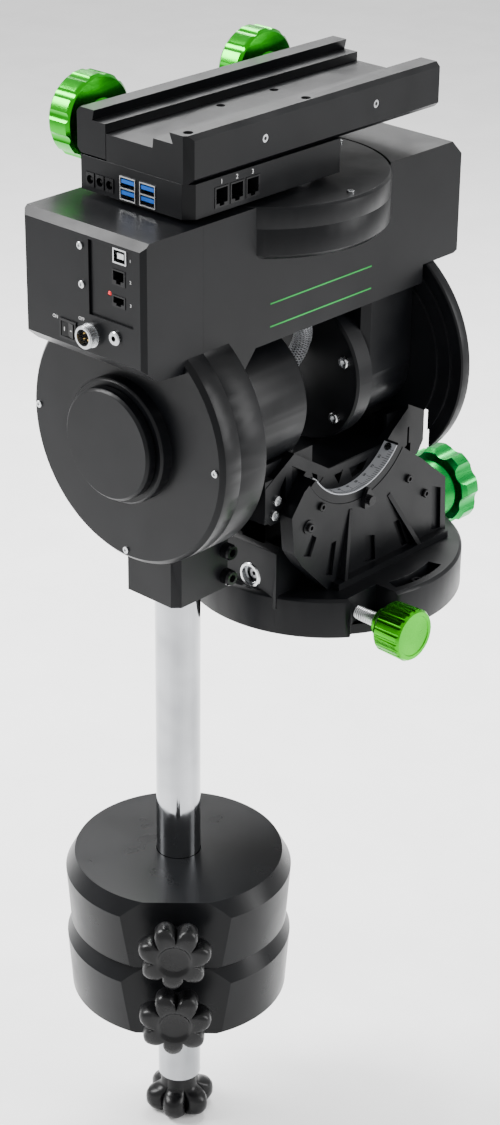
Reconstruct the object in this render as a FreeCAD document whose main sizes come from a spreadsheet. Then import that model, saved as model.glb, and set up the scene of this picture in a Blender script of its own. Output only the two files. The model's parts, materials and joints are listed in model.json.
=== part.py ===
import FreeCAD, Part
import math
import os
import re
import Sketcher

# Star tracker mount: an equatorial head on a round base, with its counterweights.
# Millimetres.  Z is up, the ports face -Y, the striped side faces +X.  The origin is the
# centre of the underside of the foot plate.  Heights written with up() are counted from
# the polar (right ascension) axis, which runs along Y.

SIZES = [
    ("base_radius", 98.5, "round base"),
    ("base_top", 30, "top of the round base"),
    ("foot_radius", 93, "foot plate inside the base"),
    ("foot_height", 8, "foot plate thickness"),
    ("foot_bore", 6, "threaded bore for the pier bolt"),
    ("hub_radius", 24, "azimuth hub on the foot plate"),
    ("hub_top", 18, "top of the azimuth hub"),
    ("rod_radius", 5, "azimuth rods and plain worm journals"),
    ("rod_y", -48, "azimuth rods"),
    ("rod_z", 15, "azimuth rods"),
    ("ra_height", 169, "polar axis above the foot"),
    ("tilt_y", -32, "altitude axis"),
    ("tilt_z", 147, "altitude axis"),
    ("cradle_radius", 58.3, "hollow in the top of each cheek"),
    ("cheek_inner", 46, "inner face of a cheek"),
    ("cheek_outer", 57, "outer face of a cheek"),
    ("worm_x", 14, "altitude worm"),
    ("worm_z", 38, "altitude worm"),
    ("drum_radius", 51, "front bearing drum"),
    ("disc_radius", 87.4, "rear gear housing"),
    ("disc_front", 34, "front face of the rear gear housing"),
    ("leg_half", 45, "half width and end radius of the rear leg"),
    ("block_half", 53, "half width of the declination block"),
    ("block_front", -179, "seam behind the front cover"),
    ("ring_radius", 86, "ring at the foot of the front leg"),
    ("dec_y", -68, "declination axis"),
    ("dec_radius", 82.7, "round declination housing"),
    ("hub_bore", 40, "declination axle flange"),
    ("panel_y", -230, "port panel"),
    ("shaft_y", -148.3, "counterweight shaft"),
    ("shaft_radius", 15.5, "counterweight shaft"),
    ("weight_radius", 79.8, "counterweights"),
    ("saddle_front", -186.4, "port end of the saddle"),
    ("saddle_rear", 48.7, "plain end of the saddle"),
    ("saddle_half", 48.2, "half width of the saddle"),
]

doc = FreeCAD.newDocument("StarTrackerMount")
sheet = doc.addObject("Spreadsheet::Sheet", "Dims")
for row, (alias, value, note) in enumerate(SIZES, 1):
    sheet.set("A%d" % row, note)
    sheet.set("B%d" % row, str(value))
    sheet.setAlias("B%d" % row, alias)
doc.recompute()

TURNS = {
    "Z": FreeCAD.Rotation(),
    "-Z": FreeCAD.Rotation(FreeCAD.Vector(1, 0, 0), 180),
    "X": FreeCAD.Rotation(FreeCAD.Vector(0, 1, 0), 90),
    "-X": FreeCAD.Rotation(FreeCAD.Vector(0, 1, 0), -90),
    "Y": FreeCAD.Rotation(FreeCAD.Vector(1, 0, 0), -90),
    "-Y": FreeCAD.Rotation(FreeCAD.Vector(1, 0, 0), 90),
}
PLANES = {"XY": "XY_Plane", "XZ": "XZ_Plane", "YZ": "YZ_Plane"}


def formula(value):
    """A size as an expression on the sheet: every name with an underscore is an alias."""
    return re.sub(r"[a-z]+_[a-z]+", lambda word: "Dims." + word.group(0), str(value))


def number(value):
    return float(sheet.evalExpression(formula(value)))


def up(value):
    """A height counted from the polar axis."""
    return "ra_height + (%s)" % value


def bind(piece, name, value):
    piece.setExpression(name, formula(value))


def place(piece, base, axis="Z", spin=None):
    turn = TURNS[axis] if spin is None else spin
    piece.Placement = FreeCAD.Placement(FreeCAD.Vector(*[number(v) for v in base]), turn)
    for letter, value in zip("xyz", base):
        bind(piece, "Placement.Base." + letter, value)
    return piece


def box(label, low, high):
    piece = doc.addObject("Part::Box", label)
    for name, a, b in zip(("Length", "Width", "Height"), low, high):
        bind(piece, name, "(%s) - (%s)" % (b, a))
    return place(piece, low)


def cylinder(label, radius, base, axis, length, spin=None):
    piece = doc.addObject("Part::Cylinder", label)
    bind(piece, "Radius", radius)
    bind(piece, "Height", length)
    return place(piece, base, axis, spin)


def fuse(label, *pieces):
    whole = doc.addObject("Part::MultiFuse", label)
    whole.Shapes = list(pieces)
    whole.Refine = True
    doc.recompute()
    return whole


def cut(label, base, *tools):
    rest = doc.addObject("Part::Cut", label)
    rest.Base = base
    rest.Tool = tools[0] if len(tools) == 1 else fuse(label + "_tools", *tools)
    rest.Refine = True
    doc.recompute()
    return rest


def common(label, first, second):
    shared = doc.addObject("Part::MultiCommon", label)
    shared.Shapes = [first, second]
    doc.recompute()
    return shared


def group(label, pieces):
    held = doc.addObject("Part::Compound", label)
    held.Links = pieces
    doc.recompute()
    return held


def mirrored(label, source):
    twin = doc.addObject("Part::Mirroring", label)
    twin.Source = source
    twin.Normal = FreeCAD.Vector(1, 0, 0)
    doc.recompute()
    return twin


def outline_sketch(body, plane, outline, offset):
    """A closed outline of straight edges, every corner held by two sheet expressions."""
    sketch = body.newObject("Sketcher::SketchObject", body.Name + "_outline")
    flat = [f for f in body.Origin.OriginFeatures if f.Role == PLANES[plane]][0]
    sketch.AttachmentSupport = [(flat, "")]
    sketch.MapMode = "FlatFace"
    bind(sketch, "AttachmentOffset.Base.z", offset)
    corners = [FreeCAD.Vector(number(a), number(b), 0) for a, b in outline]
    count = len(corners)
    for i in range(count):
        sketch.addGeometry(Part.LineSegment(corners[i], corners[(i + 1) % count]), False)
    for i in range(count):
        sketch.addConstraint(Sketcher.Constraint("Coincident", i, 2, (i + 1) % count, 1))
    for i, (first, second) in enumerate(outline):
        for kind, start, value in (("DistanceX", corners[i].x, first),
                                   ("DistanceY", corners[i].y, second)):
            held = sketch.addConstraint(Sketcher.Constraint(kind, i, 1, start))
            bind(sketch, "Constraints[%d]" % held, value)
    return sketch


def prism(label, plane, outline, low, high):
    """An outline pushed straight from low to high along the plane's own direction."""
    body = doc.addObject("PartDesign::Body", label)
    offset = "-(%s)" % high if plane == "XZ" else low
    sketch = outline_sketch(body, plane, outline, offset)
    pad = body.newObject("PartDesign::Pad", label + "_pad")
    pad.Profile = sketch
    bind(pad, "Length", "(%s) - (%s)" % (high, low))
    sketch.Visibility = False
    doc.recompute()
    return body


def turned(label, outline, base, axis="Z", angle=360, start=0):
    """A (radius, height) outline turned about an axis through base."""
    body = doc.addObject("PartDesign::Body", label)
    sketch = outline_sketch(body, "XZ", outline, "0")
    spin = body.newObject("PartDesign::Revolution", label + "_turn")
    spin.Profile = sketch
    spin.ReferenceAxis = (sketch, ["V_Axis"])
    spin.Angle = angle
    spin.Midplane = angle < 360
    doc.recompute()
    return place(body, base, axis, TURNS[axis] * FreeCAD.Rotation(FreeCAD.Vector(0, 0, 1), start))


def scallop(body, at, radius, count, first=0):
    """Round hollows, evenly spaced about the body's own axis, cut right along it."""
    sketch = body.newObject("Sketcher::SketchObject", body.Name + "_hollow")
    flat = [f for f in body.Origin.OriginFeatures if f.Role == "XY_Plane"][0]
    sketch.AttachmentSupport = [(flat, "")]
    sketch.MapMode = "FlatFace"
    lean = math.radians(first)
    centre = FreeCAD.Vector(at * math.cos(lean), at * math.sin(lean), 0)
    sketch.addGeometry(Part.Circle(centre, FreeCAD.Vector(0, 0, 1), radius), False)
    pocket = body.newObject("PartDesign::Pocket", body.Name + "_pocket")
    pocket.Profile = sketch
    pocket.Type = "ThroughAll"
    pocket.Midplane = True
    pattern = body.newObject("PartDesign::PolarPattern", body.Name + "_pattern")
    pattern.Originals = [pocket]
    pattern.Axis = (sketch, ["N_Axis"])
    pattern.Angle = 360
    pattern.Occurrences = count
    body.Tip = pattern
    doc.recompute()
    return body


def ringed(radius, root, start, pitch, count):
    """Corner points of a run of thread-like rings along an axis."""
    corners = []
    for i in range(count):
        foot = start + i * pitch
        corners += [(root, foot), (radius, foot + 0.3 * pitch),
                    (radius, foot + 0.55 * pitch), (root, foot + 0.85 * pitch)]
    return corners


def socket_screw(label, head, high, shank, length, base, axis, spin=None):
    """A cap screw whose head stands on base and whose shank goes in behind it."""
    outline = [(0, -length), (shank, -length), (shank, 0), (head, 0), (head, 0.8 * high),
               (0.85 * head, high), (0.5 * head, high), (0.5 * head, 0.45 * high),
               (0, 0.45 * high)]
    body = turned(label, outline, base, axis)
    if spin is not None:
        place(body, base, axis, spin)
    return body


# ---- foot: stays on the pier ---------------------------------------------------------

def foot_plate():
    outline = [("foot_bore", 0), ("foot_radius - 1", 0), ("foot_radius", 1),
               ("foot_radius", "foot_height"), ("hub_radius", "foot_height"),
               ("hub_radius", "hub_top"), ("foot_bore", "hub_top")]
    disc = turned("foot_disc", outline, (0, 0, 0))
    peg = box("azimuth_peg", (-6, "rod_y - 6", 4), (6, "rod_y + 6", "rod_z + 7"))
    body = fuse("foot_body", disc, peg)
    holes = [cylinder("foot_hole", 2.3, (x, 0, 1.8), "Z", 10) for x in (-86.5, 86.5)]
    return cut("foot_plate", body, *holes)


def azimuth_lock_screws():
    screws = [socket_screw("lock_screw", 4.2, 4, 2.2, 20, (x, 0, 22.6), "Z")
              for x in (-86.5, 86.5)]
    return group("azimuth_lock_screws", screws)


# ---- azimuth base: turns on the foot ------------------------------------------------

def lock_slot(side):
    """A curved slot over one lock screw, wider above than below."""
    outline = [(83.8, 5), (89.2, 5), (89.2, 22), (91.3, 22), (91.3, 32),
               (81.7, 32), (81.7, 22), (83.8, 22)]
    return turned("lock_slot", outline, (0, 0, 0), "Z", 31, side)


def base_casting():
    outline = [(0, "hub_top + 0.3"), ("hub_radius + 0.3", "hub_top + 0.3"),
               ("hub_radius + 0.3", "foot_height + 0.3"),
               ("foot_radius + 0.4", "foot_height + 0.3"), ("foot_radius + 0.4", 0.6),
               ("base_radius - 1", 0.6), ("base_radius", 1.6),
               ("base_radius", "base_top - 2"), ("base_radius - 2", "base_top"),
               (0, "base_top")]
    disc = turned("base_disc", outline, (0, 0, 0))
    block = prism("worm_block", "YZ",
                  [(-92, 20), (-92, 62), (-88, 66), (-66, 66), (-66, 20)], -38, 38)
    lug = prism("worm_lug", "XZ",
                [(-4, 20), (-4, 48), (4, 56), (24, 56), (32, 48), (32, 20)], 62, 80)
    body = fuse("base_body", disc, block, lug)
    tools = [
        box("peg_room", (-13.6, "rod_y - 7.2", 5), (13.6, "rod_y + 8.6", "rod_z + 9")),
        cylinder("rod_hole", "rod_radius + 0.05", (-80, "rod_y", "rod_z"), "X", 160),
        box("notch_right", (75, -60, -1), (100, -30, 31)),
        box("notch_left", (-100, -60, -1), (-75, -30, 31)),
        lock_slot(0),
        lock_slot(180),
        box("worm_trough", ("worm_x - 10", -63, 27), ("worm_x + 10", 61, 40)),
        box("sector_room", ("worm_x - 10", -89.2, 45), ("worm_x + 10", -60, 70)),
        cylinder("bush_hole", 9.5, ("worm_x", -93, "worm_z"), "Y", 17),
        cylinder("worm_hole", "rod_radius + 0.4", ("worm_x", -80, "worm_z"), "Y", 20),
        cylinder("lug_hole", "rod_radius + 0.05", ("worm_x", 60, "worm_z"), "Y", 22),
        cylinder("knob_room", 21.5, ("worm_x", 86, "worm_z"), "Y", 20),
    ]
    return cut("base_casting", body, *tools)


def altitude_screw_bush():
    outline = [(7, 0), (8.6, 0), (9.4, 0.8), (9.4, 16.6), ("rod_radius + 0.05", 16.6),
               ("rod_radius + 0.05", 9), (6.2, 9), (6.2, 4.5), (7, 4.5)]
    return turned("altitude_screw_bush", outline, ("worm_x", -92.6, "worm_z"), "Y")


def cheek_fin(label, top_y, top_z, foot_y, foot_z):
    """A fin that leans along the cheek and stands further out towards its foot."""
    run = foot_y - top_y
    drop = top_z - foot_z
    length = math.hypot(run, drop)
    fin = prism(label, "XZ", [("cheek_outer - 2", 0), ("cheek_outer + 0.6", 0),
                              ("cheek_outer + 6.4", -length), ("cheek_outer - 2", -length)],
                -1.6, 1.6)
    lean = FreeCAD.Rotation(FreeCAD.Vector(1, 0, 0), math.degrees(math.atan2(run, drop)))
    return place(fin, (0, top_y, up(top_z)), "Z", lean)


def cheek_slot(label, corners):
    return prism(label, "YZ", [(y, up(z)) for y, z in corners],
                 "cheek_outer - 2.5", "cheek_outer + 3")


CHEEK_SCREWS = [(-69, -72.8), (-81.6, -83.6), (22.2, -82.2), (41.4, -99.8)]


def cheek_right():
    edge = [(-86.3, -56.5), (-98.3, -71.8), (-95.2, -99.5), (-87.1, -111.3), (-60, -139),
            (67, -139), (64.4, -94.8), (36.5, -71.7), (15.4, -56.1), (-81.2, -53.2)]
    plate = prism("cheek_plate", "YZ", [(y, up(z)) for y, z in edge],
                  "cheek_inner", "cheek_outer")
    flange = box("cheek_flange", ("cheek_outer - 2", -56, "base_top"),
                 ("cheek_outer + 6.5", 62, "base_top + 5"))
    fins = [cheek_fin("fin_front", -38.4, -85, -48.6, -138.9),
            cheek_fin("fin_rear", 1.7, -87.4, 33.8, -138.9)]
    boss = cylinder("cheek_boss", 5, ("cheek_outer - 2", -81.6, up(-83.6)), "X", 3)
    body = fuse("cheek_body", plate, flange, boss, *fins)
    tools = [
        cylinder("cradle", "cradle_radius", ("cheek_inner - 5", "tilt_y", "tilt_z"), "X", 40),
        box("under_cheek", ("cheek_inner - 2", -120, 20), ("cheek_outer + 20", 90, "base_top")),
        cheek_slot("slot_a", [(-86, -104), (-77.5, -91), (-73, -94.5), (-78.5, -107)]),
        cheek_slot("slot_b", [(-63, -126), (-57.5, -104), (-52.5, -104), (-56, -129)]),
        cheek_slot("slot_c", [(-22.4, -110.5), (-12, -114), (-10.5, -133), (-21.9, -131.5)]),
        cheek_slot("slot_d", [(7.9, -111), (13.5, -111), (24, -133), (18.5, -133)]),
        cheek_slot("slot_e", [(49.5, -97), (59.5, -101.5), (61, -133.5), (51, -132)]),
    ]
    tools += [cylinder("cheek_hole", 2.1, ("cheek_outer - 8.5", y, up(z)), "X", 14)
              for y, z in CHEEK_SCREWS]
    return cut("cheek_right", body, *tools)


def cheek_screws():
    screws = []
    for y, z in CHEEK_SCREWS:
        seat = "cheek_outer + 1" if z == -83.6 else "cheek_outer"
        screws.append(socket_screw("cheek_screw", 3, 2.2, 2, 8, (seat, y, up(z)), "X"))
        screws.append(socket_screw("cheek_screw", 3, 2.2, 2, 8, ("-(%s)" % seat, y, up(z)), "-X"))
    return group("cheek_screws", screws)


def scale_pointers():
    edge = [(-27, -88), (-18, -88), (-18, -80), (-21.5, -74), (-23.5, -74), (-27, -80)]
    plate = prism("pointer_plate", "YZ", [(y, up(z)) for y, z in edge],
                  "cheek_outer", "cheek_outer + 3")
    head = cylinder("pointer_head", 3.4, ("cheek_outer + 1", -22.5, up(-82.5)), "X", 5)
    pointer = fuse("pointer", plate, head)
    return group("scale_pointers", [pointer, mirrored("pointer_twin", pointer)])


# ---- azimuth adjusters --------------------------------------------------------------

def azimuth_rod(label, axis, side):
    thread = ringed("rod_radius", "rod_radius - 0.5", 62, 1.6, 20)
    outline = [(0, 0), (3, 0), ("rod_radius", 2)] + thread
    outline += [("rod_radius", 95), ("rod_radius", 111), (0, 111)]
    return turned(label, outline, (side * 6.9, "rod_y", "rod_z"), axis)


def azimuth_knob(label, axis, side):
    outline = [("rod_radius + 0.05", 0), (9, 0), (10, 1), (10, 6), (16, 7.5), (18, 10),
               (18.5, 29), (17, 31), (14.5, 31), (14, 30.4), (0, 30.4), (0, 24.5),
               ("rod_radius + 0.05", 24.5)]
    knob = turned(label, outline, (side * 93.9, "rod_y", "rod_z"), axis)
    return scallop(knob, 19.6, 1.9, 20)


# ---- altitude screw -----------------------------------------------------------------

def altitude_worm():
    outline = [(0, 4), (1.6, 4), (1.6, 0), (3.6, 0), ("rod_radius", 1.4), ("rod_radius", 31)]
    outline += ringed(8.4, 6.4, 31, 4.71, 11)
    outline += [("rod_radius", 84), ("rod_radius", 204), (0, 204)]
    return turned("altitude_worm", outline, ("worm_x", -88, "worm_z"), "Y")


def altitude_knob():
    outline = [("rod_radius", 0), (13, 0), (14, 1), (21, 17), (27, 18), (30, 21), (30, 33),
               (27, 36), (12, 36), (11, 35), (0, 35), (0, 28.2), ("rod_radius", 28.2)]
    knob = turned("altitude_knob", outline, ("worm_x", 88, "worm_z"), "Y")
    return scallop(knob, 35.5, 10, 8, 11)


# ---- carriage: tilts in the cheeks and carries the polar bearings --------------------

WEB_WINDOWS = [
    [(-103, -62), (-92, -46), (-92, -66)],
    [(-86, -41), (-72, -50), (-86, -62)],
    [(-66, -52.5), (-54, -60), (-62, -66)],
    [(-44, -60.5), (-34, -60.5), (-38, -70)],
    [(-28, -60.5), (-8, -60.5), (-14, -68), (-24, -70)],
    [(-2, -60.5), (8, -60.5), (2, -63)],
]


def side_web():
    edge = [(-112, -50), (-84, -33), (-48.7, -55.2), (9.3, -56.1), (18, -48), (33.9, -36),
            (33.9, -64), (10, -78), (-30, -81), (-80, -77), (-106, -78), (-112, -72)]
    web = prism("side_web", "YZ", [(y, up(z)) for y, z in edge], 38, "cheek_inner - 0.6")
    panes = [prism("web_pane", "YZ", [(y, up(z)) for y, z in pane], 41, 50)
             for pane in WEB_WINDOWS]
    return cut("side_web_open", web, *panes)


def half_ring():
    outline = [(52.1, 0), (58, 0), (58, 11.2), (52.1, 11.2)]
    return turned("half_ring", outline, ("cheek_inner - 0.6", "tilt_y", "tilt_z"),
                  "X", 110, 0)


def carriage_casting():
    web = side_web()
    ring = half_ring()
    floor = box("floor", ("1 - cheek_inner", -60, up(-62)), ("cheek_inner - 1", 33.9, up(-55)))
    front = box("front_flange", (-45, -112, up(-76)), (45, -98, up(-45)))
    seat = box("drum_seat", (-40, -112, up(-62)), (40, -60, up(-36)))
    ribs = [box("rear_rib", (x, 18, up(-62)), (x + 3, 33.9, up(top)))
            for x, top in ((-28.5, -41.5), (25.5, -41.5), (-39.5, -38), (36.5, -38))]
    body = fuse("carriage_body", floor, front, seat, web, mirrored("web_twin", web),
                ring, mirrored("ring_twin", ring), *ribs)
    tools = [
        cylinder("drum_room", "drum_radius + 0.02", (0, -150, "ra_height"), "Y", 72.5),
        cylinder("flange_room", 52.5, (0, -78, "ra_height"), "Y", 64.5),
        cylinder("leg_room", "leg_half + 0.5", (0, -20, "ra_height"), "Y", 60),
    ]
    tools += [cylinder("screw_hole", 2.1, (x, y, up(z)), "X", 12)
              for x in (-48, 36) for y, z in CARRIAGE_SCREWS]
    return cut("carriage_casting", body, *tools)


CARRIAGE_SCREWS = [(-101.3, -61), (-103.9, -71)]


def carriage_screws():
    face = "cheek_inner - 0.6"
    screws = []
    for y, z in CARRIAGE_SCREWS:
        screws.append(socket_screw("carriage_screw", 3.4, 2.6, 2, 8, (face, y, up(z)), "X"))
        screws.append(socket_screw("carriage_screw", 3.4, 2.6, 2, 8, ("-(%s)" % face, y, up(z)), "-X"))
    return group("carriage_screws", screws)


def altitude_sector():
    outline = [(44, -4), (99.4, -4), (99.4, 4), (44, 4)]
    plate = turned("sector_plate", outline, ("worm_x", "tilt_y", "tilt_z"), "X", 44, 12.5)
    teeth = scallop(plate, 100.6, 1.4, 133)
    floor = box("floor_room", (-40, -120, up(-62)), (40, 50, up(-30)))
    return cut("altitude_sector", teeth, floor)


def latitude_scale():
    outline = [(51.2, 0), (52.05, 0), (52.05, 11.2), (51.2, 11.2)]
    return turned("latitude_scale", outline, ("cheek_inner - 0.6", "tilt_y", "tilt_z"),
                  "X", 106, 0)


def ra_drum():
    outline = [(28.05, 0), ("drum_radius - 1", 0), ("drum_radius", 1), ("drum_radius", 74.4),
               ("drum_radius - 1", 75.4), (12, 75.4), (12, 71), (44, 71), (44, 30),
               (28.05, 30)]
    return turned("ra_drum", outline, (0, -153.4, "ra_height"), "Y")


def ra_rear_housing():
    outline = [(25.05, 0), (68, 0), (68, 2), (78, 2), (78, 4), ("disc_radius - 1", 4),
               ("disc_radius", 5), ("disc_radius", 12), (80, 18), (38, 18), (38, 32),
               (36, 34), (0, 34), (0, 30.5), (33, 30.5), (33, 15.5), (55.2, 15.5), (55.2, 3),
               (25.05, 3)]
    shell = turned("housing_shell", outline, (0, "disc_front", "ra_height"), "Y")
    tools = [
        box("worm_bay", (-20, 36.8, up(-68)), (20, 50, up(-48))),
        cylinder("worm_journals", 2.55, (-24, 43.5, up(-60)), "X", 48),
        box("cheek_gap", ("cheek_inner - 0.8", 30, up(-100)), ("cheek_outer + 4", 60, up(-33.5))),
        box("cheek_gap", ("-(cheek_outer + 4)", 30, up(-100)), ("0.8 - cheek_inner", 60, up(-33.5))),
    ]
    return cut("ra_rear_housing", shell, *tools)


def ra_motor():
    return cylinder("ra_motor", 20, (0, 53, "ra_height"), "Y", 11.4)


def small_worm(label, base, axis, half, radius):
    """A short worm with a plain journal at each end."""
    outline = [(0, -half - 4), (2.5, -half - 4), (2.5, -half)]
    outline += ringed(radius, radius - 1.4, -half, 3, int(2 * half / 3))
    outline += [(2.5, half), (2.5, half + 4), (0, half + 4)]
    return turned(label, outline, base, axis)


def ra_worm():
    return small_worm("ra_worm", (0, 43.5, up(-60)), "X", 17, 5.5)


# ---- yoke: turns about the polar axis ------------------------------------------------

def yoke_casting():
    edge = [("block_front", 150), (60, 150), (70, 140), (70, 72), (34, 57.5), (-131, 57.5),
            (-150, 35), (-154, 26), (-154, 0), ("block_front", 0)]
    block = prism("dec_block", "YZ", [(y, up(z)) for y, z in edge],
                  "-block_half", "block_half")
    ring = turned("leg_ring", [(28, 0), ("ring_radius", 0), ("ring_radius", 23),
                               ("ring_radius - 2", 25), (28, 25), (28, 53), (27, 54), (10, 54),
                               (10, 0)],
                  (0, "block_front", "ra_height"), "Y")
    bulge = turned("dec_bulge", [(0, -20), ("dec_radius - 2.5", -20), ("dec_radius", -17),
                                 ("dec_radius", 0), (0, 0)], (0, "dec_y", up(136)))
    leg = prism("rear_leg", "XY",
                [("-leg_half", 33.7), ("leg_half", 33.7), ("leg_half", -9),
                 ("leg_half - 5", -14), ("5 - leg_half", -14), ("-leg_half", -9)],
                "ra_height", up(60))
    heel = turned("leg_heel", [(0, 0), ("leg_half - 5", 0), ("leg_half", 5),
                               ("leg_half", 47.7), (0, 47.7)], (0, -14, "ra_height"), "Y")
    room = cylinder("drum_clearance", "drum_radius + 0.8", (0, -153.9, "ra_height"), "Y", 76)
    body = fuse("yoke_body", cut("dec_block_open", block, room), ring, bulge, leg, heel)
    posts = [box("worm_post", (50, y, up(120)), (64, y + 5, up(134))) for y in (-92, -49)]
    tools = [
        cylinder("cap_seat", "dec_radius + 0.3", (0, "dec_y", up(136)), "Z", 15),
        cylinder("rear_arch", "disc_radius + 0.8", (0, 33.7, "ra_height"), "Y", 40),
        cut("wheel_bay", cylinder("wheel_room", 77, (0, "dec_y", up(121.5)), "Z", 14.6), *posts),
        cylinder("dec_worm_hole", 2.55, (57.4, -92.5, up(127)), "Y", 49),
        cylinder("hub_room", 46, (0, "dec_y", up(112)), "Z", 10),
        cylinder("dec_journal", 20.05, (0, "dec_y", up(99)), "Z", 14),
        box("motor_bay", (-46, "block_front - 1", up(64)), (46, -115, up(112))),
        cylinder("sleeve_hole", 11, (18, -54.5, up(50)), "Z", 45),
        cylinder("axle_hole", 25.05, (0, -15, "ra_height"), "Y", 50),
        cylinder("cable_bore", 10, (0, "block_front - 1", "ra_height"), "Y", 60),
    ]
    return cut("yoke_casting", body, *tools)


COVER_SCREWS = [(79.5, 0), (-79.5, 0), (0, -79.5)]
PANEL_SCREWS = [(-0.8, 137.4), (0.2, 112.8)]


def front_cover():
    side = [("block_front", 150), (-225, 150), ("panel_y", 145), ("panel_y", 70), (-219, 60.6),
            ("block_front", 57.5)]
    deep = prism("cover_side", "YZ", [(y, up(z)) for y, z in side], "-block_half", "block_half")
    plan = [("-block_half", "block_front"), ("-block_half", -227), ("3 - block_half", "panel_y"),
            ("block_half - 3", "panel_y"), ("block_half", -227), ("block_half", "block_front")]
    wide = prism("cover_plan", "XY", plan, up(50), up(151))
    disc = turned("cover_disc", [(0, 0), (83, 0), (85, 2), ("ring_radius", 3),
                                 ("ring_radius", 16.6), (0, 16.6)],
                  (0, -195.6, "ra_height"), "Y")
    collar = turned("cover_collar", [(0, 0), (40.5, 0), (42, 1.5), (42, 10), (0, 10)],
                    (0, -204.5, "ra_height"), "Y")
    body = fuse("cover_body", common("cover_box", deep, wide), disc, collar)
    tools = [
        box("cover_room", (-47, -225, up(76)), (47, "block_front + 1", up(143))),
        box("port_window", (6, -231, up(95)), (44, -224, up(143))),
        box("switch_window", (-20.1, -231, up(73)), (-5.4, -213, up(86.3))),
        cylinder("inlet_hole", 6, (7, -231, up(81.6)), "Y", 9),
        cylinder("snap_hole", 3.6, (28.7, -231, up(85.5)), "Y", 7),
        cylinder("cap_bore", 30, (0, -205, "ra_height"), "Y", 20),
        cylinder("cover_bore", 10, (0, -196, "ra_height"), "Y", 20),
    ]
    tools += [cylinder("cover_hole", 1.6, (x, -196, up(z)), "Y", 9) for x, z in COVER_SCREWS]
    tools += [cylinder("panel_hole", 1.6, (x, -231, up(z)), "Y", 9) for x, z in PANEL_SCREWS]
    return cut("front_cover", body, *tools)


def cover_screws():
    screws = [socket_screw("cover_screw", 2.4, 1.2, 1.5, 6, (x, -195.6, up(z)), "-Y")
              for x, z in COVER_SCREWS]
    screws += [socket_screw("panel_screw", 2.4, 1.2, 1.5, 6, (x, "panel_y", up(z)), "-Y")
               for x, z in PANEL_SCREWS]
    screws += [socket_screw("cap_screw", 2.4, 1.2, 1.5, 6, (x, "dec_y + (%s)" % y, up(150)), "Z")
               for x, y in ((74, 0), (-74, 0), (0, 74), (0, -74))]
    return group("cover_screws", screws)


def polar_cap():
    outline = [(0, 0), (35.5, 0), (37.3, 1.6), (37.3, 7), (36, 7.6), (29.9, 7.6), (29.9, 22),
               (27, 22), (27, 4), (0, 4)]
    return turned("polar_cap", outline, (0, -212.5, "ra_height"), "Y")


def port_plate():
    plate = box("port_sheet", (6.1, -228.4, up(95.1)), (43.9, -226, up(142.9)))
    tools = [
        box("usb_b_gap", (25.9, -230, up(132.9)), (37.6, -224, up(142.6))),
        box("jack_gap", (24.9, -230, up(118.9)), (36.1, -224, up(129.1))),
        box("jack_gap", (24.9, -230, up(104.9)), (36.1, -224, up(112.6))),
        cylinder("led_gap", 1.6, (22.4, -230, up(112.3)), "Y", 6),
    ]
    return cut("port_plate", plate, *tools)


def usb_b_port():
    shell = box("usb_b_shell", (26, -229, up(133)), (37.5, -214, up(142.5)))
    room = box("usb_b_room", (27, -230, up(134)), (36.5, -216, up(141.5)))
    tongue = box("usb_b_tongue", (29, -228, up(136)), (34.5, -215, up(139.5)))
    return fuse("usb_b_port", cut("usb_b_frame", shell, room), tongue)


def jack(label, low, high, depth, wall, key):
    """A modular socket: a box open at the front with a stepped keyway along one edge."""
    shell = box(label + "_shell", low, high)
    x0, y0, z0 = low
    x1, y1, z1 = high
    room = box(label + "_room", (x0 + wall, y0 - 1, "%s + %s" % (z0, wall + key)),
               (x1 - wall, y0 + depth, "%s - %s" % (z1, wall)))
    way = box(label + "_key", ((x0 + x1) / 2 - 2, y0 - 1, "%s + %s" % (z0, wall)),
              ((x0 + x1) / 2 + 2, y0 + depth, "%s - %s" % (z1, wall + key)))
    return cut(label, shell, room, way)


def control_jacks():
    return group("control_jacks", [
        jack("control_jack", (25, -228.8, up(119)), (36, -214, up(129)), 11, 1, 2),
        jack("shutter_jack", (25, -228.8, up(105)), (36, -214, up(112.5)), 11, 1, 1.5)])


def status_led():
    return turned("status_led", [(0, 0), (0.8, 0.1), (1.5, 1), (1.5, 6), (0, 6)],
                  (22.4, -229, up(112.3)), "Y")


def power_inlet():
    outline = [(5.4, 0), (6.8, 0)] + ringed(7.4, 6.8, 0.4, 1.1, 5)
    outline += [(7.9, 6), (7.9, 7), (5.9, 7), (5.9, 13.6), (0, 13.6), (0, 7), (5.4, 7)]
    return turned("power_inlet", outline, (7, -237, up(81.6)), "Y")


def snap_port():
    outline = [(1.8, 0), (3.8, 0), (4.5, 0.7), (4.5, 2), (3.5, 2), (3.5, 12), (0, 12),
               (0, 9), (1.8, 9)]
    return turned("snap_port", outline, (28.7, -232, up(85.5)), "Y")


def switch_frame():
    frame = box("switch_shell", (-20, -231, up(73.1)), (-5.5, -214, up(86.2)))
    room = box("switch_room", (-18.7, -233, up(74.7)), (-6.8, -216, up(84.6)))
    return cut("switch_frame", frame, room)


def power_rocker():
    edge = [(-17.7, -226), (-17.7, -231.2), (-12.75, -230.3), (-7.8, -231.2), (-7.8, -226),
            (-10.5, -220), (-15, -220)]
    return prism("power_rocker", "XY", edge, up(75), up(84.3))


def ra_axle():
    outline = [(0, 0), (25, 0), (25, 76.5), (0, 76.5)]
    return turned("ra_axle", outline, (0, -27, "ra_height"), "Y")


def ra_worm_wheel():
    wheel = turned("ra_worm_wheel", [(25, 0), (54, 0), (54, 7), (25, 7)],
                   (0, 40, "ra_height"), "Y")
    return scallop(wheel, 54.4, 0.9, 113)


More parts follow.
